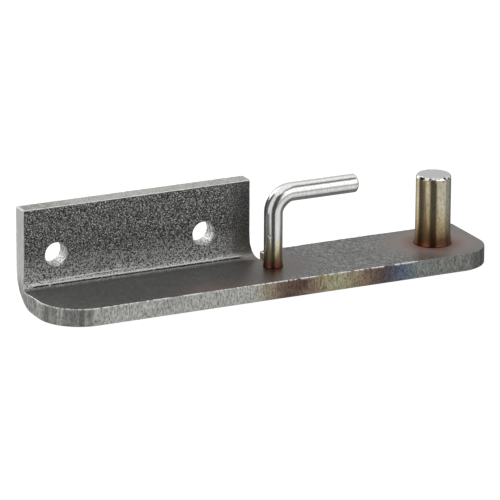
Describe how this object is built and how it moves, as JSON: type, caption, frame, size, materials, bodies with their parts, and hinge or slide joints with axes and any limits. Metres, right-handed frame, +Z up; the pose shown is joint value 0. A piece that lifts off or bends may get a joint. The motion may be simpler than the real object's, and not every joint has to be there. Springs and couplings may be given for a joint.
{
  "type": "gate latch keeper bracket",
  "caption": "Folded steel wall bracket with a flat arm that carries a welded upright stub pin and a bent hook rod; a swinging gate latch or hinge eye drops onto it.",
  "frame": {"origin": "on the plane of the arm's underside, below the middle of the whole part", "axes": "+X along the arm from the flange end to the pin end, +Y out of the flange's back face into the wall, +Z up along the pin"},
  "size_m": [0.1718, 0.0346, 0.036],
  "materials": {
    "mill_scale_plate": "bare hot-rolled plate with dark mill scale, sheared edges and weld heat tint",
    "pin_steel": "turned, straw-tinted by welding heat",
    "rod_steel": "bright drawn rod, tinted at its foot",
    "weld_metal": "rippled plug weld"
  },
  "bodies": {
    "root": {"bracket_plate": "mill_scale_plate", "pivot_pin": "pin_steel", "hook_rod": "rod_steel", "pivot_pin_weld": "weld_metal", "hook_rod_weld": "weld_metal"}
  },
  "joints": []
}
